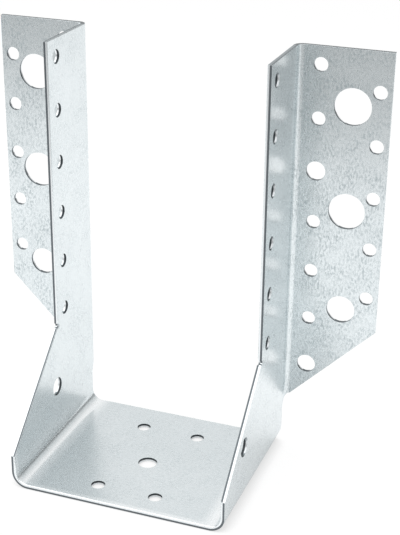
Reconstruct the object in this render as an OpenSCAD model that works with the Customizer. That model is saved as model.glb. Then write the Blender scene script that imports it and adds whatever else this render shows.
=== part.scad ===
// Face-fixed joist hanger, punched and folded from one piece of galvanised steel sheet.
// Millimetres, +Z up. The joist comes in from the front (-Y) and lies on the seat, between the walls.
// The flanges lie flat against the header, which is behind the part (+Y).
// The origin is under the middle of the part's depth and width, at the height of the seat's underside.

/* [Sheet] */
// Thickness of the sheet
sheet_t = 2; // [1.5:0.1:3]
// Inside radius of the folds between the seat and the walls
seat_fold_r = 5.5; // [2.5:0.25:7]
// Inside radius of the folds between the walls and the flanges
flange_fold_r = 2.5; // [2:0.25:5]

/* [Seat] */
// Clear width between the walls, which is the joist's width
joist_w = 100; // [60:1:160]
// Depth from the header face to the seat's front edge
seat_depth = 90; // [80:1:105]
// Setback of the seat's back edge from the start of the flange folds
back_setback = 0.5; // [0.25:0.25:4]

/* [Walls] */
// Height from the seat's underside to the top edges
hanger_h = 198; // [150:1:260]
// Depth from the header face to the front edge of the upper walls
wall_depth = 42; // [36:0.5:55]
// Height of the upright lip at the seat's front corners
lip_h = 16; // [12:0.5:25]
// Slope of the gusset's edge, in degrees from level
gusset_angle = 43; // [38:1:50]
// Radius of the nick between a wall's front edge and its gusset
nick_r = 1; // [0.5:0.25:3]

/* [Flanges] */
// Width of a flange from the wall's outer face
flange_w = 42.5; // [38:0.5:48]
// Height of the flange's lower outer corner
flange_corner_h = 65; // [58:0.5:90]
// Slope of the flange's lower edge, in degrees from level
flange_angle = 45; // [38:1:48]
// Radius with which the fold runs out into the wall's back edge
runout_r = 15; // [8:0.5:20]
// Angle at which that arc meets the wall's back edge, in degrees
runout_angle = 15; // [8:1:25]

/* [Hole sizes] */
// Nail holes
nail_d = 6.5; // [5:0.1:7]
// Screw holes
screw_d = 9; // [7:0.1:10]
// Lowest bolt hole of each flange
low_bolt_d = 13.5; // [11:0.1:15]
// Other bolt holes
bolt_d = 17; // [13:0.1:18]

/* [Hole rows] */
// From the top edge down to the first row
row_drop = 8.25; // [6:0.25:14]
// Distance between rows
row_pitch = 24.5; // [20:0.25:30]
// How far a flange's outer nails lie below its inner row
stagger = 10; // [7:0.25:12.5]
// How far the first bolt hole lies below the first row
bolt_drop = 17.5; // [16:0.25:20]

/* [Hole columns] */
// Inner column, from the wall's outer face
inner_inset = 10; // [9.75:0.25:12]
// Bolt holes, from the flange's outer edge
bolt_inset = 17.25; // [16.5:0.25:18]
// Outer nails, from the flange's outer edge
outer_inset = 5.5; // [4.5:0.25:6]
// Wall nails, from the wall's front edge
wall_inset = 8; // [5:0.25:14]

/* [Gusset holes] */
// From the gusset's edge to the hole in the right wall
gusset_inset = 7.5; // [6:0.25:10]
// Right wall's hole, back from the seat's front edge
gusset_back_right = 25.5; // [20:0.5:32]
// Left wall's hole, back from the seat's front edge
gusset_back_left = 45; // [36:0.5:52]

/* [Seat holes] */
// Width between the nail holes
seat_gauge = 28.4; // [20:0.2:40]
// Length between the nail holes
seat_pitch = 55; // [40:0.5:60]
// Front nail holes, back from the seat's front edge
seat_inset = 12.5; // [8:0.5:16]
// Middle screw hole, back from the seat's front edge
seat_middle = 38; // [28:0.5:50]

/* [Hidden] */
zinc = "#c4cbcd";
$fn = 64;

// Overrun of cutting tools, and the lap of the seat's folds into the walls
over = 1;

// Places across the width
wall_in_x = joist_w / 2;
wall_out_x = wall_in_x + sheet_t;
fold_x = wall_out_x + flange_fold_r;
flange_x = wall_out_x + flange_w;

// Places along the depth
flange_reach = sheet_t + flange_fold_r;
header_y = seat_depth / 2;
fold_y = header_y - flange_reach;
back_y = fold_y - back_setback;
wall_front_y = header_y - wall_depth;
seat_front_y = header_y - seat_depth;
runout_y = back_y + runout_r * cos(runout_angle);

// Heights
seat_reach = sheet_t + seat_fold_r;
gusset_top_z = lip_h + (seat_depth - wall_depth) * tan(gusset_angle);
fold_end_z = flange_edge_z(flange_fold_r);
runout_z = fold_end_z - sqrt(runout_r ^ 2 - (runout_y - header_y + sheet_t / 2) ^ 2);
gusset_hole_z = lip_h + gusset_back_right * tan(gusset_angle) - gusset_inset / cos(gusset_angle);

// First rows, and how many rows the sheet has room for
row_z = hanger_h - row_drop;
outer_z = row_z - stagger;
bolt_z = row_z - bolt_drop;
bolt_pitch = 2 * row_pitch;
inner_rows = rows(row_z, flange_edge_z(inner_inset) + screw_d, row_pitch);
outer_rows = rows(outer_z, flange_edge_z(flange_w - outer_inset) + nail_d, row_pitch);
bolt_rows = rows(bolt_z, flange_edge_z(flange_w - bolt_inset) + low_bolt_d, bolt_pitch);
wall_rows = rows(row_z, gusset_top_z + nick_r + nail_d / 2, row_pitch);

// Height of the flange's lower edge at a distance u from the wall's outer face
function flange_edge_z(u) = flange_corner_h - (flange_w - u) * tan(flange_angle);

// Number of rows from a top height down to a lowest height
function rows(top, low, pitch) = floor((top - low) / pitch) + 1;

// In the inner column the third row, and every fourth after it, is a screw hole
function inner_d(row) = row % 4 == 2 ? screw_d : nail_d;

// Stands a drawing of width and height across the part's depth
module through_depth() {
    rotate([90, 0, 0])
        linear_extrude(height = seat_depth + 2 * over, center = true)
            children();
}

// Stands a drawing of depth and height across the part's width
module through_width() {
    rotate([90, 0, 90])
        linear_extrude(height = 2 * (flange_x + over), center = true)
            children();
}

// Box with two round lower corners, standing on the level of its own base
module round_foot(width, height, r) {
    translate([-width / 2, r])
        square([width, height - r]);
    translate([-width / 2 + r, 0])
        square([width - 2 * r, height]);
    for (side = [-1, 1])
        translate([side * (width / 2 - r), r])
            circle(r = r);
}

// Section of the seat and its two folds, cut off level with a lap into the walls
module seat_section() {
    intersection() {
        difference() {
            round_foot(2 * wall_out_x, hanger_h, seat_reach);
            translate([0, sheet_t])
                round_foot(joist_w, hanger_h, seat_fold_r);
        }
        translate([-wall_out_x, 0])
            square([2 * wall_out_x, seat_reach + over]);
    }
}

module seat() {
    translate([0, (back_y + seat_front_y) / 2, 0])
        rotate([90, 0, 0])
            linear_extrude(height = back_y - seat_front_y, center = true)
                seat_section();
}

// Plan of the right wall, its fold and its flange
module side_plan() {
    translate([wall_in_x, seat_front_y])
        square([sheet_t, fold_y - seat_front_y]);
    translate([fold_x, fold_y])
        intersection() {
            difference() {
                circle(r = flange_reach);
                circle(r = flange_fold_r);
            }
            translate([-flange_reach, 0])
                square(flange_reach);
        }
    translate([fold_x, header_y - sheet_t])
        square([flange_x - fold_x, sheet_t]);
}

// Seen from the side: what is cut away behind the wall, up to the arc in which the fold ends
module runout() {
    intersection() {
        translate([back_y, 0])
            square([2 * runout_r, hanger_h]);
        union() {
            translate([back_y - over, 0])
                square([2 * runout_r, runout_z]);
            translate([runout_y, runout_z])
                circle(r = runout_r);
        }
    }
}

// Seen from the side: lip, gusset, nick, upper wall and the fold's lower end
module side_outline() {
    difference() {
        polygon([
            [seat_front_y, seat_reach],
            [seat_front_y, lip_h],
            [wall_front_y, gusset_top_z],
            [wall_front_y, hanger_h],
            [header_y, hanger_h],
            [header_y, seat_reach]
        ]);
        runout();
        translate([wall_front_y, gusset_top_z])
            circle(r = nick_r);
    }
}

// Seen from the front: the flange's lower edge slopes down to its fold
module flange_outline() {
    polygon([
        [wall_in_x, 0],
        [fold_x, 0],
        [fold_x, fold_end_z],
        [flange_x, flange_corner_h],
        [flange_x, hanger_h],
        [wall_in_x, hanger_h]
    ]);
}

module side() {
    intersection() {
        linear_extrude(height = hanger_h)
            side_plan();
        through_width() side_outline();
        through_depth() flange_outline();
    }
}

// Punch through the sheet, along Z and centred
module punch(d) {
    cylinder(d = d, h = sheet_t + 2 * over, center = true);
}

module flange_punch(u, z, d) {
    translate([wall_out_x + u, header_y - sheet_t / 2, z])
        rotate([90, 0, 0])
            punch(d);
}

module flange_holes() {
    for (row = [0 : inner_rows - 1])
        flange_punch(inner_inset, row_z - row * row_pitch, inner_d(row));
    for (row = [0 : outer_rows - 1])
        flange_punch(flange_w - outer_inset, outer_z - row * row_pitch, nail_d);
    for (row = [0 : bolt_rows - 1])
        flange_punch(
            flange_w - bolt_inset,
            bolt_z - row * bolt_pitch,
            row == bolt_rows - 1 ? low_bolt_d : bolt_d
        );
}

module wall_punch(y, z, d) {
    translate([wall_in_x + sheet_t / 2, y, z])
        rotate([0, 90, 0])
            punch(d);
}

module wall_holes(gusset_back) {
    for (row = [0 : wall_rows - 1])
        wall_punch(wall_front_y + wall_inset, row_z - row * row_pitch, nail_d);
    wall_punch(seat_front_y + gusset_back, gusset_hole_z, screw_d);
}

module seat_punch(x, y, d) {
    translate([x, y, sheet_t / 2])
        punch(d);
}

module seat_holes() {
    for (side = [-1, 1], back = [0, seat_pitch])
        seat_punch(side * seat_gauge / 2, seat_front_y + seat_inset + back, nail_d);
    seat_punch(0, seat_front_y + seat_middle, screw_d);
}

// Both sides of the part: the children are drawn for the right-hand side
module both_sides() {
    children();
    mirror([1, 0, 0])
        children();
}

module joist_hanger() {
    color(zinc)
        difference() {
            union() {
                seat();
                both_sides() side();
            }
            both_sides() flange_holes();
            wall_holes(gusset_back_right);
            mirror([1, 0, 0])
                wall_holes(gusset_back_left);
            seat_holes();
        }
}

joist_hanger();
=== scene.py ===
"""Joist hanger: one galvanised steel sheet, punched flat, eased along its cuts, folded and dressed.

The sheet is laid out as its flat blank. In the blank, U runs across the seat and up the walls, V runs
along the depth and out along the flanges, and W is the sheet's thickness, with the joist's side up.
"""

import logging
import math
from dataclasses import dataclass, field
from enum import Enum
from typing import Any

import bmesh
import bpy
from mathutils import Matrix, Vector


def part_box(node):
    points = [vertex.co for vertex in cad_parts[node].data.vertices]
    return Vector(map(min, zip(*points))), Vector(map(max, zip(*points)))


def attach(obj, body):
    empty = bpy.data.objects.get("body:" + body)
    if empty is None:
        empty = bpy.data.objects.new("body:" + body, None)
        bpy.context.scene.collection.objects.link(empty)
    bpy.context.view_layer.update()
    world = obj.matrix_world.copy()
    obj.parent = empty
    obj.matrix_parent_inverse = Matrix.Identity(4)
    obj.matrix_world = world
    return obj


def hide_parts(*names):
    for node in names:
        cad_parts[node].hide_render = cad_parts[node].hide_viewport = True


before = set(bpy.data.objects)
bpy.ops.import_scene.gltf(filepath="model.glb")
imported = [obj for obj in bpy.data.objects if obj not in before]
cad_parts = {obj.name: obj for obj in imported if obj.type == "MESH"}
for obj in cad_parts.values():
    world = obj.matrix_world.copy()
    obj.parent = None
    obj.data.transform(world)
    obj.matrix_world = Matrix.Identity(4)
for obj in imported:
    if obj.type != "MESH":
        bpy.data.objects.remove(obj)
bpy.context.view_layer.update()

MM = 0.001
NODE = "joist_hanger"
BODY = "root"
FLAT = "flat_place"
PUNCHED = "punched_hole"
QUARTER = math.pi / 2
WHITE = "ffffff"
LOG = logging.getLogger("joist_hanger")
# What goes into a node's number: an output to link, or a value
Value = bpy.types.NodeSocket | float


class Side(Enum):
    """The two sides of the hanger, with the sign of X on each."""

    RIGHT = 1
    LEFT = -1


class SocketKind(Enum):
    """Kinds of socket that the node groups show."""

    GEOMETRY = "NodeSocketGeometry"
    FLOAT = "NodeSocketFloat"
    INT = "NodeSocketInt"
    VECTOR = "NodeSocketVector"
    MATERIAL = "NodeSocketMaterial"


class MixKind(Enum):
    """What a mix node mixes: its data type, its first input's place and its output's place."""

    NUMBER = ("FLOAT", 2, 0)
    COLOUR = ("RGBA", 6, 2)


def linear(hex_colour: str) -> tuple[float, float, float, float]:
    """Turns an sRGB hex colour into linear light.

    Args:
        hex_colour: Six hex digits, such as "c4cbcd".

    Returns:
        Red, green, blue and an alpha of 1.
    """
    parts = [int(hex_colour[i:i + 2], 16) / 255 for i in (0, 2, 4)]
    light = [c / 12.92 if c <= 0.04045 else ((c + 0.055) / 1.055) ** 2.4 for c in parts]
    return light[0], light[1], light[2], 1.0


def add_node(tree: bpy.types.NodeTree, kind: str, links: dict[Any, Any] | None = None,
             **settings: Any) -> bpy.types.Node:
    """Adds one node with its settings and links.

    Args:
        tree: The tree that gets the node.
        kind: The node's type.
        links: For each input, by name or place, an output to link or a value to set.
        settings: The node's own properties.

    Returns:
        The new node.
    """
    node = tree.nodes.new(kind)
    for name, value in settings.items():
        setattr(node, name, value)
    for key, value in (links or {}).items():
        if isinstance(value, bpy.types.NodeSocket):
            tree.links.new(value, node.inputs[key])
        else:
            node.inputs[key].default_value = value
    return node


def math_node(tree: bpy.types.NodeTree, operation: str, *values: Value,
              clamp: bool = False) -> bpy.types.NodeSocket:
    """Adds a maths node.

    Args:
        tree: The tree that gets the node.
        operation: What the node works out.
        values: The numbers that go in, as outputs to link or as values.
        clamp: Whether the result is kept between 0 and 1.

    Returns:
        The result.
    """
    links = dict(enumerate(values))
    return add_node(tree, "ShaderNodeMath", links, operation=operation, use_clamp=clamp).outputs[0]


def ramp(tree: bpy.types.NodeTree, value: Value, start: float, end: float, low: Value = 0.0,
         high: Value = 1.0, smooth: bool = False) -> bpy.types.NodeSocket:
    """Adds a ramp that is level before its start and after its end.

    Args:
        tree: The tree that gets the node.
        value: What the ramp follows.
        start: Where the ramp begins.
        end: Where it ends, which may be below the start.
        low: The result at the start.
        high: The result at the end.
        smooth: Whether the ramp eases in and out.

    Returns:
        The result.
    """
    links = {"Value": value, "From Min": start, "From Max": end, "To Min": low, "To Max": high}
    eased = "SMOOTHSTEP" if smooth else "LINEAR"
    return add_node(tree, "ShaderNodeMapRange", links, interpolation_type=eased).outputs[0]


def mix(tree: bpy.types.NodeTree, kind: MixKind, factor: Value, first: Any,
        second: Any) -> bpy.types.NodeSocket:
    """Adds a mix of two numbers or two colours.

    Args:
        tree: The tree that gets the node.
        kind: What is mixed.
        factor: The share of the second.
        first: The first number or colour.
        second: The second number or colour.

    Returns:
        The result.
    """
    data_type, place, result = kind.value
    links = {0: factor, place: first, place + 1: second}
    return add_node(tree, "ShaderNodeMix", links, data_type=data_type).outputs[result]


def mix_shaders(tree: bpy.types.NodeTree, factor: Value, first: bpy.types.NodeSocket,
                second: bpy.types.NodeSocket) -> bpy.types.NodeSocket:
    """Adds a mix of two shaders.

    Args:
        tree: The tree that gets the node.
        factor: The share of the second.
        first: The first shader.
        second: The second shader.

    Returns:
        The mixed shader.
    """
    return add_node(tree, "ShaderNodeMixShader", {0: factor, 1: first, 2: second}).outputs[0]


def noise(tree: bpy.types.NodeTree, place: bpy.types.NodeSocket, scale: float, detail: float,
          roughness: float = 0.5, distortion: float = 0.0) -> bpy.types.NodeSocket:
    """Adds a cloudy noise.

    Args:
        tree: The tree that gets the node.
        place: Where the noise is read.
        scale: Its features for each unit of the place.
        detail: How many finer layers it has.
        roughness: How strong the finer layers are.
        distortion: How much it is twisted.

    Returns:
        The noise, from 0 to 1.
    """
    links = {"Vector": place, "Scale": scale, "Detail": detail, "Roughness": roughness,
             "Distortion": distortion}
    return add_node(tree, "ShaderNodeTexNoise", links).outputs["Fac"]


def split(tree: bpy.types.NodeTree, vector: bpy.types.NodeSocket) -> dict[str, bpy.types.NodeSocket]:
    """Splits a vector into its X, Y and Z."""
    node = add_node(tree, "ShaderNodeSeparateXYZ", {0: vector})
    return {axis: node.outputs[axis] for axis in "XYZ"}


def compare(tree: bpy.types.NodeTree, operation: str, first: Value,
            second: Value) -> bpy.types.NodeSocket:
    """Adds a comparison of two numbers to a geometry tree.

    Args:
        tree: The tree that gets the node.
        operation: How they are compared.
        first: The first number.
        second: The second number.

    Returns:
        Whether it holds.
    """
    links = {0: first, 1: second}
    return add_node(tree, "FunctionNodeCompare", links, operation=operation).outputs[0]


def both(tree: bpy.types.NodeTree, first: bpy.types.NodeSocket,
         second: bpy.types.NodeSocket) -> bpy.types.NodeSocket:
    """Tells where two conditions both hold."""
    return add_node(tree, "FunctionNodeBooleanMath", {0: first, 1: second}, operation="AND").outputs[0]


def metres(*lengths_mm: float) -> list[float]:
    """Turns lengths in millimetres into metres."""
    return [length * MM for length in lengths_mm]


def new_group(name: str, inputs: dict[str, SocketKind],
              outputs: dict[str, SocketKind]) -> bpy.types.NodeTree:
    """Makes an empty geometry node group with named sockets.

    Args:
        name: The group's name.
        inputs: The kind of each input, by name.
        outputs: The kind of each output, by name.

    Returns:
        The group.
    """
    tree = bpy.data.node_groups.new(name, "GeometryNodeTree")
    for direction, sockets in (("INPUT", inputs), ("OUTPUT", outputs)):
        for socket, kind in sockets.items():
            tree.interface.new_socket(name=socket, in_out=direction, socket_type=kind.value)
    return tree


def add_modifier(piece: bpy.types.Object, tree: bpy.types.NodeTree, values: dict[str, Any]) -> None:
    """Adds a node group to a piece as a modifier and sets its inputs.

    Args:
        piece: The object that gets the modifier.
        tree: The node group.
        values: The inputs' values, by the names that the group shows.
    """
    modifier = piece.modifiers.new(tree.name, "NODES")
    modifier.node_group = tree
    for item in tree.interface.items_tree:
        if item.item_type == "SOCKET" and item.in_out == "INPUT" and item.name in values:
            modifier[item.identifier] = values[item.name]


def shader_tree(name: str) -> tuple[bpy.types.Material, bpy.types.NodeTree]:
    """Makes a material with an empty node tree.

    Args:
        name: The material's name.

    Returns:
        The material and its tree.
    """
    material = bpy.data.materials.new(name)
    material.use_nodes = True
    material.node_tree.nodes.clear()
    return material, material.node_tree


@dataclass(frozen=True)
class Fold:
    """A right-angle fold of the sheet, in millimetres along the flat blank."""

    start: float
    inside: float
    thickness: float

    @property
    def radius(self) -> float:
        """Radius at the middle of the sheet."""
        return self.inside + self.thickness / 2

    @property
    def reach(self) -> float:
        """How far the fold reaches, from its start to the outside of the sheet."""
        return self.inside + self.thickness

    @property
    def arc(self) -> float:
        """Length along the middle of the sheet."""
        return self.radius * QUARTER


@dataclass(frozen=True)
class GalvanisedSheet:
    """Hot-dip galvanised steel, rolled smooth: pale blue-grey zinc with a fine, clustered mottle.

    A range is where a noise begins and ends to count, and a share is a part of the full strength.
    """

    pale: str = "e1e7e9"
    dull: str = "b4bec1"
    # Near-white: the press's polish on the seat's folds and the painted highlight along the front edge.
    near_white: str = "f4f7f8"
    metallic: float = 0.8
    roughness: float = 0.22
    roughness_spread: float = 0.16
    speck_length_mm: float = 1.7
    speck_width_mm: float = 0.95
    speck_detail: float = 1.5
    speck_roughness: float = 0.6
    speck_distortion: float = 0.2
    speck_range: tuple[float, float] = (0.58, 0.36)
    cluster_mm: float = 8.0
    cluster_detail: float = 2.0
    cluster_range: tuple[float, float] = (0.38, 0.66)
    cluster_share: float = 0.35
    flange_blend_mm: float = 6.0
    seat_share: float = 0.45
    mottle_share: float = 0.8
    cloud_mm: float = 36.0
    cloud_detail: float = 3.0
    cloud_range: tuple[float, float] = (0.2, 0.8)
    cloud_share: float = 0.75
    bump_mm: float = 0.004
    nose_lead_mm: float = 6.0
    nose_full: float = 0.15
    nose_fall: tuple[float, float] = (0.55, 0.25)
    # Painted highlight along the seat's front edge: where it fades in, and how strong it is.
    front_highlight_mm: tuple[float, float] = (3.4, 1.6)
    front_highlight_share: float = 0.6

    def nose_polish_and_front_highlight(self, tree: bpy.types.NodeTree, parts: dict[str, bpy.types.NodeSocket],
               front_mm: float, fold: Fold) -> bpy.types.NodeSocket:
        """Draws, on the joist's side of the sheet, where the press's nose polished the seat's folds, and
        a painted highlight along the front edge.

        Args:
            tree: The material's tree.
            parts: The place in the flat blank.
            front_mm: The seat's front edge, along V.
            fold: The fold between the seat and a wall.

        Returns:
            How strong the polish and the painted highlight are.
        """
        # The press's nose polishes the seat's folds. The strip along the front edge is a painted
        # highlight.
        across = math_node(tree, "ABSOLUTE", parts["X"])
        lead, full = metres(fold.start - self.nose_lead_mm, fold.start + self.nose_full * fold.arc)
        rising = ramp(tree, across, lead, full, smooth=True)
        gone, going = metres(*(fold.start + share * fold.arc for share in self.nose_fall))
        falling = ramp(tree, across, gone, going, smooth=True)
        nosed = math_node(tree, "MULTIPLY", rising, falling)
        strip = metres(*(front_mm + width for width in self.front_highlight_mm))
        front_highlight = ramp(tree, parts["Y"], *strip, high=self.front_highlight_share, smooth=True)
        polish_and_highlight = math_node(tree, "MAXIMUM", nosed, front_highlight)
        inside = math_node(tree, "GREATER_THAN", parts["Z"], 0.0)
        return math_node(tree, "MULTIPLY", polish_and_highlight, inside)

    def material(self, front_mm: float, flange_mm: float, fold: Fold) -> bpy.types.Material:
        """Makes the zinc's material.

        Args:
            front_mm: The seat's front edge, along V.
            flange_mm: Where the flanges begin, along V.
            fold: The fold between the seat and a wall.

        Returns:
            The material.
        """
        material, tree = shader_tree("galvanised_steel_skin_passed")
        place = add_node(tree, "ShaderNodeAttribute", attribute_name=FLAT).outputs["Vector"]
        parts = split(tree, place)
        # Rolling flattens the zinc into small specks, a little longer along the strip, which runs up the
        # walls. Real specks are too fine to show at this distance, so they are drawn coarser.
        speck_scale = (1 / (self.speck_length_mm * MM), 1 / (self.speck_width_mm * MM), 0)
        stretched = add_node(tree, "ShaderNodeMapping", {"Vector": place, "Scale": speck_scale})
        specks = noise(tree, stretched.outputs[0], 1.0, self.speck_detail, self.speck_roughness,
                       self.speck_distortion)
        dots = ramp(tree, specks, *self.speck_range)
        # The specks lie in clusters, so the mottle is strong in some places and nearly smooth in others.
        clusters = noise(tree, place, 1 / (self.cluster_mm * MM), self.cluster_detail)
        clustered = ramp(tree, clusters, *self.cluster_range, low=self.cluster_share)
        # The flanges show the mottle most, and the seat and walls look almost even.
        begin, end = metres(flange_mm, flange_mm + self.flange_blend_mm)
        outward = ramp(tree, parts["Y"], begin, end, low=self.seat_share)
        strength = math_node(tree, "MULTIPLY", clustered, outward)
        mottle = math_node(tree, "MULTIPLY", dots, strength)
        # The bath cools unevenly, which leaves broad clouds a shade paler or duller.
        clouds = noise(tree, place, 1 / (self.cloud_mm * MM), self.cloud_detail)
        cloudy = ramp(tree, clouds, *self.cloud_range, low=self.cloud_share)
        tone = math_node(tree, "MULTIPLY_ADD", mottle, -self.mottle_share, cloudy, clamp=True)
        mottled = mix(tree, MixKind.COLOUR, tone, linear(self.dull), linear(self.pale))
        # Near-white on the joist's side: polish at the seat's folds and a painted highlight along the
        # front edge.
        nose_polish_and_front_highlight = self.nose_polish_and_front_highlight(tree, parts, front_mm, fold)
        colour = mix(tree, MixKind.COLOUR, nose_polish_and_front_highlight, mottled, linear(self.near_white))
        rough = ramp(tree, tone, 0.0, 1.0, self.roughness + self.roughness_spread, self.roughness)
        bump = add_node(tree, "ShaderNodeBump",
                        {"Height": specks, "Distance": self.bump_mm * MM, "Strength": strength})
        # Part metal and part white haze: zinc's thin oxide scatters some of the light from above.
        shader = add_node(tree, "ShaderNodeBsdfPrincipled",
                          {"Base Color": colour, "Roughness": rough, "Metallic": self.metallic,
                           "Normal": bump.outputs[0]})
        add_node(tree, "ShaderNodeOutputMaterial", {"Surface": shader.outputs[0]})
        return material


@dataclass(frozen=True)
class ShearedEdge:
    """Bare steel where the press cut the sheet: a bright burnished band and a dark, torn one.

    A torn share is the part of the thickness that is torn, and a facing is a limit of the normal.
    """

    near_white: str = "e6eaec"
    torn: str = "6a7074"
    # Darker torn band for the holes of the seat and walls: painted shade in the holes.
    torn_with_hole_shade: str = "44494c"
    top_edge_grey: str = "8d9598"
    top_edge_grey_flange: str = "5c6467"
    torn_share_front: float = 0.52
    torn_share_slope: float = 0.46
    torn_share_hole: float = 0.58
    torn_share_slit: float = 0.12
    torn_share_top: float = 0.28
    front_facing: float = -0.8
    top_facing: float = 0.9
    slope_facing: float = -0.3
    burnished_roughness: float = 0.36
    torn_roughness: float = 0.5
    striation_mm: float = 0.5
    striation_stretch: float = 4.0
    striation_detail: float = 2.0
    ragged_mm: float = 0.16

    def material(self, thickness_mm: float, flange_mm: float) -> bpy.types.Material:
        """Makes the cut edge's material.

        Args:
            thickness_mm: Thickness of the sheet.
            flange_mm: Where the flanges begin, along V.

        Returns:
            The material.
        """
        material, tree = shader_tree("mild_steel_sheared_edge")
        place = add_node(tree, "ShaderNodeAttribute", attribute_name=FLAT).outputs["Vector"]
        parts = split(tree, place)
        hole = add_node(tree, "ShaderNodeAttribute", attribute_name=PUNCHED).outputs["Fac"]
        facing = split(tree, add_node(tree, "ShaderNodeNewGeometry").outputs["True Normal"])
        # On the gussets' sloping edges and in the holes of the seat and walls the bands are turned
        # round, so that the dark band lies on the joist's side and the bright band on the other side:
        # painted shade and painted highlight, placed where shade and light fall on these cuts. The
        # flanges' holes were punched from their front.
        tilt = math_node(tree, "MULTIPLY", facing["Y"], facing["Z"])
        sloping = math_node(tree, "LESS_THAN", tilt, self.slope_facing)
        inward = math_node(tree, "LESS_THAN", parts["Y"], flange_mm * MM)
        joist_hole = math_node(tree, "MULTIPLY", inward, hole)
        painted_light_flip = math_node(tree, "MAXIMUM", sloping, joist_hole)
        sign = ramp(tree, painted_light_flip, 0.0, 1.0, 1.0, -1.0)
        depth = math_node(tree, "MULTIPLY", parts["Z"], sign)
        # The shear tears the front edges and the holes most. Slit edges are nearly all burnished.
        forward = math_node(tree, "LESS_THAN", facing["Y"], self.front_facing)
        upward = math_node(tree, "GREATER_THAN", facing["Z"], self.top_facing)
        share: Value = self.torn_share_slit
        for where, torn in ((forward, self.torn_share_front), (upward, self.torn_share_top),
                            (sloping, self.torn_share_slope), (hole, self.torn_share_hole)):
            share = mix(tree, MixKind.NUMBER, where, share, torn)
        half = thickness_mm / 2 * MM
        line = ramp(tree, share, 0.0, 1.0, -half, half)
        # The line between the two bands is ragged, with fine marks along the cut.
        along = 1 / (self.striation_mm * MM)
        fine = add_node(tree, "ShaderNodeMapping",
                        {"Vector": place, "Scale": (along, along, along / self.striation_stretch)})
        striations = noise(tree, fine.outputs[0], 1.0, self.striation_detail)
        above = math_node(tree, "SUBTRACT", depth, line)
        ragged = math_node(tree, "MULTIPLY_ADD", striations, self.ragged_mm * MM, above)
        band = ramp(tree, ragged, 0.0, self.ragged_mm * MM)
        # The top edges' bright band is grey, darkest on the flanges.
        top_edge_grey = mix(tree, MixKind.COLOUR, inward, linear(self.top_edge_grey_flange), linear(self.top_edge_grey))
        bright = mix(tree, MixKind.COLOUR, upward, linear(self.near_white), top_edge_grey)
        # Painted shade: the torn band in the holes of the seat and walls is darker.
        dark = mix(tree, MixKind.COLOUR, joist_hole, linear(self.torn), linear(self.torn_with_hole_shade))
        colour = mix(tree, MixKind.COLOUR, band, dark, bright)
        rough = ramp(tree, band, 0.0, 1.0, self.torn_roughness, self.burnished_roughness)
        shader = add_node(tree, "ShaderNodeBsdfPrincipled",
                          {"Base Color": colour, "Roughness": rough, "Metallic": 1.0})
        add_node(tree, "ShaderNodeOutputMaterial", {"Surface": shader.outputs[0]})
        return material


@dataclass(frozen=True)
class HoleRow:
    """A row of equal punched holes, in the flat blank, in millimetres."""

    u: float
    v: float
    diameter: float
    count: int = 1
    step_u: float = 0.0
    step_v: float = 0.0


@dataclass
class FoldedSheet:
    """Thickness and folds of the sheet, and how its places lie in the flat blank, in millimetres."""

    low: Vector
    high: Vector
    thickness: float = 2.0
    seat_inside: float = 5.5
    flange_inside: float = 2.5
    joist_width: float = 100.0
    fold_facets: int = 12

    @property
    def seat_fold(self) -> Fold:
        """The fold between the seat and a wall, along U."""
        return Fold(self.joist_width / 2 - self.seat_inside, self.seat_inside, self.thickness)

    @property
    def flange_fold(self) -> Fold:
        """The fold between a wall and its flange, along V."""
        reach = self.flange_inside + self.thickness
        return Fold(self.high.y - reach, self.flange_inside, self.thickness)

    @property
    def fold_x(self) -> float:
        """X at which the flange's fold ends."""
        return self.joist_width / 2 + self.flange_fold.reach

    def up(self, z: float) -> float:
        """U of a height on a wall or a flange."""
        return self.seat_fold.start + self.seat_fold.arc + z - self.seat_fold.reach

    def out(self, x: float) -> float:
        """V of a place across a flange."""
        return self.flange_fold.start + self.flange_fold.arc + x - self.fold_x


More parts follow.
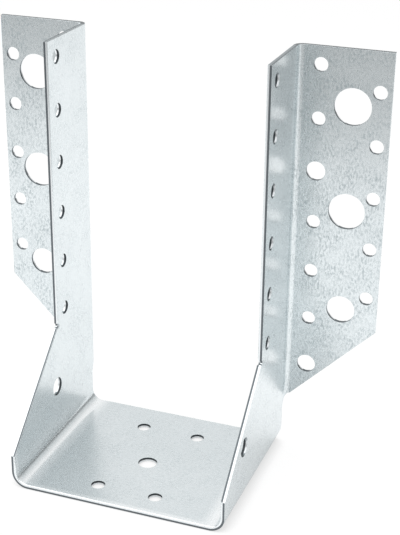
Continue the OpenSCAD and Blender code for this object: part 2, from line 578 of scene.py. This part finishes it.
@dataclass
class HangerBlank:
    """The outline and holes of the flat blank, in millimetres."""

    sheet: FoldedSheet
    wall_depth: float = 42.0
    back_setback: float = 0.5
    lip_height: float = 16.0
    gusset_deg: float = 43.0
    nick_radius: float = 1.0
    flange_corner: float = 65.0
    runout_radius: float = 15.0
    runout_deg: float = 15.0
    arc_points: int = 13
    nail: float = 6.5
    screw: float = 9.0
    low_bolt: float = 13.5
    bolt: float = 17.0
    first_row: float = 8.25
    pitch: float = 24.5
    outer_rows: int = 5
    bolt_rows: int = 2
    wall_rows: int = 6
    stagger: float = 10.0
    bolt_drop: float = 17.5
    inner_column: float = 62.0
    bolt_inset: float = 17.25
    outer_inset: float = 5.5
    wall_inset: float = 8.0
    gusset_height: float = 29.52
    gusset_back: dict[Side, float] = field(
        default_factory=lambda: {Side.RIGHT: 25.5, Side.LEFT: 45.0})
    seat_gauge: float = 28.4
    seat_pitch: float = 55.0
    seat_inset: float = 12.5
    seat_middle: float = 38.0

    def nick(self, wall_front: float, gusset_top: float) -> list[tuple[float, float]]:
        """Draws the round nick between the gusset and the wall's front edge.

        Args:
            wall_front: V of the wall's front edge.
            gusset_top: Height of the gusset's top.

        Returns:
            Points from the gusset's edge round to the wall's edge, as U and V.
        """
        start, end = math.radians(self.gusset_deg - 180), QUARTER
        turns = [start + (end - start) * i / (self.arc_points - 1) for i in range(self.arc_points)]
        return [(self.sheet.up(gusset_top + self.nick_radius * math.sin(turn)),
                 wall_front + self.nick_radius * math.cos(turn)) for turn in turns]

    def runout(self) -> list[tuple[float, float]]:
        """Draws the arc in which the flange's fold runs out into the wall's back edge.

        Returns:
            Points from the flange's sloping edge round to the wall's back edge, as U and V.
        """
        sheet, fold, size = self.sheet, self.sheet.flange_fold, self.runout_radius
        meets = math.radians(self.runout_deg)
        slope_end = self.flange_corner - (sheet.high.x - sheet.fold_x)
        centre = size * math.cos(meets) - self.back_setback
        foot = slope_end - math.sqrt(size ** 2 - (centre - fold.radius) ** 2)
        points = []
        for i in range(self.arc_points):
            turn = 1 - i / (self.arc_points - 1)
            before = centre - fold.radius * math.sin(turn * QUARTER)
            height = foot + math.sqrt(size ** 2 - before ** 2)
            points.append((sheet.up(height), fold.start + turn * fold.arc))
        return points + [(sheet.up(foot + size * math.sin(meets)), fold.start - self.back_setback)]

    def outline(self) -> list[tuple[float, float]]:
        """Draws the blank's outline, from the seat's front round the right side and back round the left.

        Returns:
            Points of the outline as U and V.
        """
        sheet = self.sheet
        front, header = sheet.low.y, sheet.high.y
        wall_front = header - self.wall_depth
        gusset_top = self.lip_height + (wall_front - front) * math.tan(math.radians(self.gusset_deg))
        half = [(sheet.up(self.lip_height), front)]
        half += self.nick(wall_front, gusset_top)
        top, edge = sheet.up(sheet.high.z), sheet.out(sheet.high.x)
        half += [(top, wall_front), (top, edge), (sheet.up(self.flange_corner), edge)]
        half += self.runout()
        return half + [(-u, v) for u, v in reversed(half)]

    def side_rows(self, side: Side) -> list[HoleRow]:
        """Lays out the holes of one wall and its flange.

        Args:
            side: The side.

        Returns:
            The rows of holes.
        """
        sheet = self.sheet
        top = sheet.high.z - self.first_row
        inner, edge = sheet.out(self.inner_column), sheet.out(sheet.high.x)
        wall = sheet.high.y - self.wall_depth + self.wall_inset
        outer, bolts = edge - self.outer_inset, edge - self.bolt_inset
        bolt_top, bolt_pitch = top - self.bolt_drop, 2 * self.pitch
        low_bolt = bolt_top - self.bolt_rows * bolt_pitch
        gusset = sheet.low.y + self.gusset_back[side]
        # In the inner column, runs of nail and screw holes: the first row, how many, and their size.
        runs = ((0, 2, self.nail), (2, 1, self.screw), (3, 3, self.nail), (6, 1, self.screw))
        rows = [HoleRow(sheet.up(top - first * self.pitch), inner, size, count, -self.pitch)
                for first, count, size in runs]
        rows += [
            HoleRow(sheet.up(top - self.stagger), outer, self.nail, self.outer_rows, -self.pitch),
            HoleRow(sheet.up(bolt_top), bolts, self.bolt, self.bolt_rows, -bolt_pitch),
            HoleRow(sheet.up(low_bolt), bolts, self.low_bolt),
            HoleRow(sheet.up(top), wall, self.nail, self.wall_rows, -self.pitch),
            HoleRow(sheet.up(self.gusset_height), gusset, self.screw),
        ]
        return [HoleRow(side.value * row.u, row.v, row.diameter, row.count, side.value * row.step_u)
                for row in rows]

    def rows(self) -> list[HoleRow]:
        """Lays out all the blank's holes.

        Returns:
            The rows of holes of both sides and the seat.
        """
        front = self.sheet.low.y
        seat = [HoleRow(side.value * self.seat_gauge / 2, front + self.seat_inset, self.nail, 2,
                        step_v=self.seat_pitch) for side in Side]
        seat.append(HoleRow(0, front + self.seat_middle, self.screw))
        return self.side_rows(Side.RIGHT) + self.side_rows(Side.LEFT) + seat


@dataclass
class JoistHanger:
    """The hanger's one piece: its sheet, its blank and its two finishes."""

    sheet: FoldedSheet
    blank: HangerBlank
    zinc: GalvanisedSheet
    edge: ShearedEdge
    rollover_mm: float = 0.6
    ease_share: float = 0.15
    ease_segments: int = 3
    punch_sides: int = 48
    punch_thicknesses: float = 3.0
    top_margin_mm: float = 0.5
    middle_margin_mm: float = 0.01
    cut_margin_m: float = 1e-8
    hole_limit: float = 0.25
    upright_limit: float = 0.3
    corner_deg: float = 60.0
    crease_deg: float = 35.0

    def flat_blank(self) -> bpy.types.Object:
        """Makes the flat blank as one face, cut across at the lines where the folds turn.

        Returns:
            The blank's object.
        """
        bm = bmesh.new()
        bm.faces.new([bm.verts.new((u * MM, v * MM, 0)) for u, v in self.blank.outline()])
        seat, flange = self.sheet.seat_fold, self.sheet.flange_fold
        cuts = []
        for i in range(self.sheet.fold_facets + 1):
            turn = i / self.sheet.fold_facets
            cuts += [((sign * (seat.start + turn * seat.arc), 0), (1, 0, 0)) for sign in (1, -1)]
            cuts.append(((0, flange.start + turn * flange.arc), (0, 1, 0)))
        for (u, v), normal in cuts:
            geometry = [*bm.verts, *bm.edges, *bm.faces]
            bmesh.ops.bisect_plane(bm, geom=geometry, plane_co=(u * MM, v * MM, 0), plane_no=normal,
                                   dist=self.cut_margin_m)
        bmesh.ops.recalc_face_normals(bm, faces=bm.faces)
        if bm.faces[:][0].normal.z < 0:
            bmesh.ops.reverse_faces(bm, faces=bm.faces)
        mesh = bpy.data.meshes.new("folded_sheet")
        bm.to_mesh(mesh)
        bm.free()
        piece = bpy.data.objects.new("folded_sheet", mesh)
        bpy.context.scene.collection.objects.link(piece)
        return piece

    @staticmethod
    def hole_row_group() -> bpy.types.NodeTree:
        """Builds the node group that stands a row of punches.

        Returns:
            The group.
        """
        tree = new_group("hole_row",
                         {"First": SocketKind.VECTOR, "Step": SocketKind.VECTOR, "Count": SocketKind.INT,
                          "Diameter": SocketKind.FLOAT, "Length": SocketKind.FLOAT,
                          "Sides": SocketKind.INT},
                         {"Punches": SocketKind.GEOMETRY})
        sizes = add_node(tree, "NodeGroupInput").outputs
        line = add_node(tree, "GeometryNodeMeshLine",
                        {"Count": sizes["Count"], "Start Location": sizes["First"],
                         "Offset": sizes["Step"]})
        radius = math_node(tree, "MULTIPLY", sizes["Diameter"], 0.5)
        punch = add_node(tree, "GeometryNodeMeshCylinder",
                         {"Vertices": sizes["Sides"], "Radius": radius, "Depth": sizes["Length"]})
        placed = add_node(tree, "GeometryNodeInstanceOnPoints",
                          {"Points": line.outputs["Mesh"], "Instance": punch.outputs["Mesh"]})
        real = add_node(tree, "GeometryNodeRealizeInstances", {0: placed.outputs[0]})
        add_node(tree, "NodeGroupOutput", {"Punches": real.outputs[0]})
        return tree

    def ease_weight(self, tree: bpy.types.NodeTree, ease_share: bpy.types.NodeSocket,
                    top_line: bpy.types.NodeSocket) -> bpy.types.NodeSocket:
        """Works out how far each cut is rounded.

        Args:
            tree: The tree that gets the nodes.
            ease_share: How far a cut is eased, as a share of the pulled edges' rounding.
            top_line: Where the cropped top edges begin, along U.

        Returns:
            The share of the full rounding.
        """
        # The shear pulls the joist's side of the outline into a round edge, but not at the cropped top
        # edges. All the other cuts are only eased.
        hole = add_node(tree, "GeometryNodeInputNamedAttribute", {"Name": PUNCHED}, data_type="FLOAT")
        place = split(tree, add_node(tree, "GeometryNodeInputPosition").outputs[0])
        upper = compare(tree, "GREATER_THAN", place["Z"], self.middle_margin_mm * MM)
        outline = compare(tree, "LESS_THAN", hole.outputs["Attribute"], self.hole_limit)
        below = compare(tree, "LESS_THAN", math_node(tree, "ABSOLUTE", place["X"]), top_line)
        pulled = both(tree, upper, both(tree, outline, below))
        weight = add_node(tree, "GeometryNodeSwitch",
                          {"Switch": pulled, "False": ease_share, "True": 1.0}, input_type="FLOAT")
        return weight.outputs[0]

    def punch_tree(self) -> bpy.types.NodeTree:
        """Builds the node tree that punches every row of holes through the blank.

        Returns:
            The tree.
        """
        tree = new_group("punch_holes",
                         {"Blank": SocketKind.GEOMETRY, "Punch Length": SocketKind.FLOAT,
                          "Punch Sides": SocketKind.INT, "Ease Share": SocketKind.FLOAT,
                          "Top Line": SocketKind.FLOAT, "Sheet": SocketKind.MATERIAL},
                         {"Punched": SocketKind.GEOMETRY})
        sizes = add_node(tree, "NodeGroupInput").outputs
        row_group = self.hole_row_group()
        punches = add_node(tree, "GeometryNodeJoinGeometry")
        for row in self.blank.rows():
            row_punches = add_node(
                tree, "GeometryNodeGroup",
                {"First": (row.u * MM, row.v * MM, 0), "Step": (row.step_u * MM, row.step_v * MM, 0),
                 "Count": row.count, "Diameter": row.diameter * MM, "Length": sizes["Punch Length"],
                 "Sides": sizes["Punch Sides"]}, node_tree=row_group)
            tree.links.new(row_punches.outputs[0], punches.inputs[0])
        known = add_node(tree, "GeometryNodeStoreNamedAttribute",
                         {"Geometry": punches.outputs[0], "Name": PUNCHED, "Value": 1.0},
                         data_type="FLOAT", domain="FACE")
        cut = add_node(tree, "GeometryNodeMeshBoolean",
                       {"Mesh 1": sizes["Blank"], "Mesh 2": known.outputs[0]},
                       operation="DIFFERENCE", solver="EXACT")
        weight = self.ease_weight(tree, sizes["Ease Share"], sizes["Top Line"])
        angle = add_node(tree, "GeometryNodeInputMeshEdgeAngle").outputs["Unsigned Angle"]
        corner = compare(tree, "GREATER_THAN", angle, math.radians(self.corner_deg))
        weighed = add_node(tree, "GeometryNodeStoreNamedAttribute",
                           {"Geometry": cut.outputs["Mesh"], "Selection": corner,
                            "Name": "bevel_weight_edge", "Value": weight},
                           data_type="FLOAT", domain="EDGE")
        real = add_node(tree, "GeometryNodeRealizeInstances", {0: weighed.outputs[0]})
        painted = add_node(tree, "GeometryNodeSetMaterial",
                           {"Geometry": real.outputs[0], "Material": sizes["Sheet"]})
        add_node(tree, "NodeGroupOutput", {"Punched": painted.outputs[0]})
        return tree

    @staticmethod
    def bend_group() -> bpy.types.NodeTree:
        """Builds the node group that turns a strip through a right angle, along an arc.

        Returns:
            The group: a place along the strip and its offset from the middle of the sheet go in, and its
            place before the fold and its rise past the fold come out.
        """
        tree = new_group("right_angle_bend",
                         {"Along": SocketKind.FLOAT, "Offset": SocketKind.FLOAT,
                          "Start": SocketKind.FLOAT, "Radius": SocketKind.FLOAT},
                         {"Forward": SocketKind.FLOAT, "Rise": SocketKind.FLOAT})
        given = add_node(tree, "NodeGroupInput").outputs
        past = math_node(tree, "SUBTRACT", given["Along"], given["Start"])
        turn = math_node(tree, "DIVIDE", past, given["Radius"])
        angle = add_node(tree, "ShaderNodeClamp", {"Value": turn, "Min": 0.0, "Max": QUARTER}).outputs[0]
        swing = math_node(tree, "ADD", given["Radius"], given["Offset"])
        before = math_node(tree, "MINIMUM", given["Along"], given["Start"])
        sine, cosine = (math_node(tree, operation, angle) for operation in ("SINE", "COSINE"))
        forward = math_node(tree, "MULTIPLY_ADD", swing, sine, before)
        lift = math_node(tree, "MULTIPLY", swing, cosine)
        round_part = math_node(tree, "SUBTRACT", given["Radius"], lift)
        spent = math_node(tree, "MULTIPLY", angle, given["Radius"])
        rest = math_node(tree, "SUBTRACT", past, spent)
        straight = math_node(tree, "MAXIMUM", rest, 0.0)
        rise = math_node(tree, "ADD", round_part, straight)
        add_node(tree, "NodeGroupOutput", {"Forward": forward, "Rise": rise})
        return tree

    def fold_tree(self) -> bpy.types.NodeTree:
        """Builds the node tree that folds the flanges out and the walls up.

        Returns:
            The tree.
        """
        tree = new_group("fold_sheet",
                         {"Blank": SocketKind.GEOMETRY, "Seat Fold": SocketKind.FLOAT,
                          "Seat Radius": SocketKind.FLOAT, "Flange Fold": SocketKind.FLOAT,
                          "Flange Radius": SocketKind.FLOAT, "Half Thickness": SocketKind.FLOAT,
                          "Sheet": SocketKind.MATERIAL, "Cut Edge": SocketKind.MATERIAL},
                         {"Folded": SocketKind.GEOMETRY})
        sizes = add_node(tree, "NodeGroupInput").outputs
        place = add_node(tree, "GeometryNodeInputPosition").outputs[0]
        # The flat place stays with each point, so that the finishes follow the sheet round its folds.
        kept = add_node(tree, "GeometryNodeStoreNamedAttribute",
                        {"Geometry": sizes["Blank"], "Name": FLAT, "Value": place},
                        data_type="FLOAT_VECTOR", domain="POINT")
        normal = split(tree, add_node(tree, "GeometryNodeInputNormal").outputs[0])
        level = math_node(tree, "ABSOLUTE", normal["Z"])
        upright = compare(tree, "LESS_THAN", level, self.upright_limit)
        marked = add_node(tree, "GeometryNodeCaptureAttribute", {"Geometry": kept.outputs[0]},
                          domain="FACE")
        marked.capture_items.new("BOOLEAN", "Cut")
        tree.links.new(upright, marked.inputs[1])
        flat = split(tree, place)
        bend = self.bend_group()
        flange = add_node(tree, "GeometryNodeGroup",
                          {"Along": flat["Y"], "Offset": flat["Z"], "Start": sizes["Flange Fold"],
                           "Radius": sizes["Flange Radius"]}, node_tree=bend)
        half_way = math_node(tree, "ABSOLUTE", flat["X"])
        wall = add_node(tree, "GeometryNodeGroup",
                        {"Along": half_way, "Offset": flange.outputs["Rise"],
                         "Start": sizes["Seat Fold"], "Radius": sizes["Seat Radius"]}, node_tree=bend)
        side = math_node(tree, "SIGN", flat["X"])
        across = math_node(tree, "MULTIPLY", side, wall.outputs["Forward"])
        height = math_node(tree, "ADD", wall.outputs["Rise"], sizes["Half Thickness"])
        folded = add_node(tree, "ShaderNodeCombineXYZ",
                          {"X": across, "Y": flange.outputs["Forward"], "Z": height})
        moved = add_node(tree, "GeometryNodeSetPosition",
                         {"Geometry": marked.outputs[0], "Position": folded.outputs[0]})
        smooth = add_node(tree, "GeometryNodeSetShadeSmooth", {"Geometry": moved.outputs[0]})
        turn = add_node(tree, "GeometryNodeInputMeshEdgeAngle").outputs["Unsigned Angle"]
        crisp = compare(tree, "GREATER_THAN", turn, math.radians(self.crease_deg))
        creased = add_node(tree, "GeometryNodeSetShadeSmooth",
                           {"Geometry": smooth.outputs[0], "Selection": crisp, "Shade Smooth": False},
                           domain="EDGE")
        real = add_node(tree, "GeometryNodeRealizeInstances", {0: creased.outputs[0]})
        zinc = add_node(tree, "GeometryNodeSetMaterial",
                        {"Geometry": real.outputs[0], "Material": sizes["Sheet"]})
        bare = add_node(tree, "GeometryNodeSetMaterial",
                        {"Geometry": zinc.outputs[0], "Selection": marked.outputs[1],
                         "Material": sizes["Cut Edge"]})
        add_node(tree, "NodeGroupOutput", {"Folded": bare.outputs[0]})
        return tree

    def build(self) -> bpy.types.Object:
        """Makes the folded sheet as one plain mesh.

        Returns:
            The piece.
        """
        sheet, seat, flange = self.sheet, self.sheet.seat_fold, self.sheet.flange_fold
        piece = self.flat_blank()
        zinc = self.zinc.material(sheet.low.y, flange.start, seat)
        edge = self.edge.material(sheet.thickness, flange.start)
        piece.data.materials.append(zinc)
        body = piece.modifiers.new("thickness", "SOLIDIFY")
        body.thickness = sheet.thickness * MM
        body.offset = 0.0
        add_modifier(piece, self.punch_tree(),
                     {"Punch Length": self.punch_thicknesses * sheet.thickness * MM,
                      "Punch Sides": self.punch_sides, "Ease Share": self.ease_share,
                      "Top Line": (sheet.up(sheet.high.z) - self.top_margin_mm) * MM, "Sheet": zinc})
        ease = piece.modifiers.new("eased_cuts", "BEVEL")
        ease.width = self.rollover_mm * MM
        ease.segments = self.ease_segments
        ease.limit_method = "WEIGHT"
        ease.use_clamp_overlap = False
        add_modifier(piece, self.fold_tree(),
                     {"Seat Fold": seat.start * MM, "Seat Radius": seat.radius * MM,
                      "Flange Fold": flange.start * MM, "Flange Radius": flange.radius * MM,
                      "Half Thickness": sheet.thickness / 2 * MM, "Sheet": zinc, "Cut Edge": edge})
        shade = piece.modifiers.new("even_shading", "WEIGHTED_NORMAL")
        shade.keep_sharp = True
        graph = bpy.context.evaluated_depsgraph_get()
        mesh = bpy.data.meshes.new_from_object(piece.evaluated_get(graph), preserve_all_data_layers=True,
                                               depsgraph=graph)
        piece.modifiers.clear()
        piece.data = mesh
        mesh.name = piece.name
        return piece

    def dress(self, piece: bpy.types.Object) -> None:
        """Fixes the piece to its body and hides the CAD part that it replaces.

        Args:
            piece: The folded sheet.
        """
        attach(piece, BODY)
        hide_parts(NODE)


@dataclass
class Studio:
    """White floor, soft light and the camera, with levels of light as shares of white.

    A fade, rise or turn is where a level begins and ends to change: in millimetres on the floor, and
    as a part of a direction in the surroundings.
    """

    azimuth_deg: float = 20.07
    elevation_deg: float = 23.8
    roll_deg: float = 0.68
    distance_mm: float = 560.9
    focal_px: float = 1253.8
    image_height_px: float = 535.0
    sensor_mm: float = 36.0
    clip_mm: tuple[float, float] = (10.0, 100000.0)
    look_at_mm: tuple[float, float, float] = (20.97, 5.0, 102.11)
    floor_mm: float = 4000.0
    floor_glow: float = 1.04
    floor_share: float = 0.86
    hole_reach_mm: float = 10.0
    hole_shade: tuple[float, float] = (0.35, 0.75)
    hole_share: float = 0.75
    mirror_share: float = 0.5
    front_fade_mm: tuple[float, float] = (-420.0, -345.0)
    front_skew: float = -0.2
    front_end: float = 0.45
    front_level: float = 1.55
    right_fade_mm: tuple[float, float] = (40.0, 120.0)
    right_lift: float = 1.1
    back_fade_mm: tuple[float, float] = (40.0, 160.0)
    back_level: float = 1.62
    shade_reach_mm: float = 60.0
    shade_samples: int = 8
    backdrop: float = 0.97
    backdrop_right: float = 0.86
    right_foot: float = 0.12
    right_rise: tuple[float, float] = (0.12, 0.32)
    right_turn: tuple[float, float] = (-0.1, 0.3)
    camera_side: float = 0.06
    camera_side_top: float = 0.7
    camera_side_rise: tuple[float, float] = (-0.05, 0.2)
    camera_side_turn: tuple[float, float] = (-0.3, 0.15)
    fill: float = 0.45
    lamp_at_mm: tuple[float, float, float] = (-80.0, -300.0, 1000.0)
    lamp_aim_mm: tuple[float, float, float] = (0.0, 0.0, 80.0)
    lamp_mm: float = 2400.0
    lamp_watts: float = 17.5

    def camera(self) -> None:
        """Stands the camera where the hanger was seen from."""
        angles = (self.azimuth_deg, self.elevation_deg, self.roll_deg)
        azimuth, elevation, roll = (math.radians(angle) for angle in angles)
        back = Vector((math.sin(azimuth) * math.cos(elevation), -math.cos(azimuth) * math.cos(elevation),
                       math.sin(elevation)))
        level = Vector((math.cos(azimuth), math.sin(azimuth), 0))
        upright = back.cross(level)
        right = math.cos(roll) * level + math.sin(roll) * upright
        up = math.cos(roll) * upright - math.sin(roll) * level
        data = bpy.data.cameras.new("camera")
        data.sensor_width = self.sensor_mm
        data.lens = self.focal_px * self.sensor_mm / self.image_height_px
        data.clip_start, data.clip_end = metres(*self.clip_mm)
        camera = bpy.data.objects.new("camera", data)
        place = (Vector(self.look_at_mm) + back * self.distance_mm) * MM
        camera.matrix_world = (Matrix.Translation(place)
                               @ Matrix((right, up, back)).transposed().to_4x4())
        bpy.context.scene.collection.objects.link(camera)
        bpy.context.scene.camera = camera

    @staticmethod
    def seen_ray(tree: bpy.types.NodeTree) -> dict[str, bpy.types.NodeSocket]:
        """Tells the rays that show the studio from those that only light the part.

        Args:
            tree: The tree that gets the nodes.

        Returns:
            Sockets that are 1 for what the camera sees straight ("direct") and for mirrored or
            passed light ("mirrored").
        """
        ray = add_node(tree, "ShaderNodeLightPath").outputs
        mirrored = math_node(tree, "MAXIMUM", ray["Is Glossy Ray"], ray["Is Transmission Ray"])
        return {"direct": ray["Is Camera Ray"], "mirrored": mirrored}

    def open_share(self, tree: bpy.types.NodeTree, reach_mm: float) -> bpy.types.NodeSocket:
        """Tells how open the floor lies, with nothing near it that shades it.

        Args:
            tree: The floor's tree.
            reach_mm: How far off something still shades it.

        Returns:
            The share that is open.
        """
        node = add_node(tree, "ShaderNodeAmbientOcclusion", {"Distance": reach_mm * MM},
                        samples=self.shade_samples)
        return node.outputs["AO"]

    def floor_finish(self) -> bpy.types.Material:
        """Makes the floor's white card, which the metal mirrors as it fades out in front of the part.

        Returns:
            The material.
        """
        material, tree = shader_tree("white_card_floor")
        ray = self.seen_ray(tree)
        place = split(tree, add_node(tree, "ShaderNodeTexCoord").outputs["Object"])
        ahead = math_node(tree, "MULTIPLY_ADD", place["X"], self.front_skew, place["Y"])
        front = ramp(tree, ahead, *metres(*self.front_fade_mm), low=self.front_end, smooth=True)
        right = ramp(tree, place["X"], *metres(*self.right_fade_mm), low=self.front_level,
                     high=self.front_level * self.right_lift, smooth=True)
        behind = ramp(tree, place["Y"], *metres(*self.back_fade_mm), low=right, high=self.back_level,
                      smooth=True)
        open_level = math_node(tree, "MULTIPLY", front, behind)
        # Painted shade: the mirrored glow is dimmed where the part closes the floor in.
        level = math_node(tree, "MULTIPLY", open_level, self.open_share(tree, self.shade_reach_mm))
        matt = add_node(tree, "ShaderNodeBsdfDiffuse", {"Color": front}).outputs[0]
        faded = add_node(tree, "ShaderNodeEmission", {"Color": linear(WHITE), "Strength": level})
        mirror = mix_shaders(tree, self.mirror_share, matt, faded.outputs[0])
        # Painted shade: the floor's glow is a little grey where the holes show it, as far as they close
        # it in.
        closed_in = self.open_share(tree, self.hole_reach_mm)
        lit = ramp(tree, closed_in, *self.hole_shade, low=self.hole_share * self.floor_glow,
                   high=self.floor_glow)
        glow = add_node(tree, "ShaderNodeEmission", {"Color": linear(WHITE), "Strength": lit})
        card = add_node(tree, "ShaderNodeBsdfDiffuse", {"Color": linear(WHITE)})
        white = mix_shaders(tree, self.floor_share, card.outputs[0], glow.outputs[0])
        plain = mix_shaders(tree, ray["direct"], matt, white)
        shader = mix_shaders(tree, ray["mirrored"], plain, mirror)
        add_node(tree, "ShaderNodeOutputMaterial", {"Surface": shader})
        return material

    def floor(self) -> None:
        """Lays the white floor, which keeps a faint shadow."""
        bm = bmesh.new()
        bmesh.ops.create_grid(bm, x_segments=1, y_segments=1, size=self.floor_mm / 2 * MM)
        mesh = bpy.data.meshes.new("floor")
        bm.to_mesh(mesh)
        bm.free()
        mesh.materials.append(self.floor_finish())
        floor = bpy.data.objects.new("floor", mesh)
        bpy.context.scene.collection.objects.link(floor)

    def surround(self) -> None:
        """Sets the studio around the part: white behind and dim on the camera's side."""
        world = bpy.data.worlds.new("studio")
        world.use_nodes = True
        tree = world.node_tree
        tree.nodes.clear()
        ray = self.seen_ray(tree)
        parts = split(tree, add_node(tree, "ShaderNodeTexCoord").outputs["Generated"])
        dim = ramp(tree, parts["Z"], *self.camera_side_rise, self.camera_side, self.camera_side_top,
                   smooth=True)
        right = ramp(tree, parts["Z"], *self.right_rise, self.right_foot, self.backdrop_right,
                     smooth=True)
        back = ramp(tree, parts["X"], *self.right_turn, self.backdrop, right, smooth=True)
        front = ramp(tree, parts["Y"], *self.camera_side_turn, dim, back, smooth=True)
        lit = mix(tree, MixKind.NUMBER, ray["mirrored"], self.fill, front)
        strength = mix(tree, MixKind.NUMBER, ray["direct"], lit, 1.0)
        glow = add_node(tree, "ShaderNodeBackground", {"Color": linear(WHITE), "Strength": strength})
        add_node(tree, "ShaderNodeOutputWorld", {"Surface": glow.outputs[0]})
        bpy.context.scene.world = world

    def lamp(self) -> None:
        """Hangs the soft box over the part."""
        lamp = bpy.data.lights.new("soft_box", "AREA")
        lamp.size = self.lamp_mm * MM
        lamp.energy = self.lamp_watts
        soft_box = bpy.data.objects.new("soft_box", lamp)
        soft_box.location = Vector(self.lamp_at_mm) * MM
        aim = Vector(self.lamp_aim_mm) * MM - soft_box.location
        soft_box.rotation_euler = aim.to_track_quat("-Z", "Y").to_euler()
        bpy.context.scene.collection.objects.link(soft_box)

    def build(self) -> None:
        """Builds the floor, the light and the camera."""
        self.floor()
        self.surround()
        self.lamp()
        self.camera()
        bpy.context.scene.view_settings.view_transform = "Standard"


def main() -> None:
    """Builds the hanger and the studio, and reports each piece."""
    logging.basicConfig(level=logging.INFO, format="%(name)s: %(message)s")
    low, high = (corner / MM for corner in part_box(NODE))
    sheet = FoldedSheet(low, high)
    hanger = JoistHanger(sheet, HangerBlank(sheet), GalvanisedSheet(), ShearedEdge())
    piece = hanger.build()
    hanger.dress(piece)
    LOG.info("%s: %d faces", piece.name, len(piece.data.polygons))
    Studio().build()


if __name__ == "__main__":
    main()
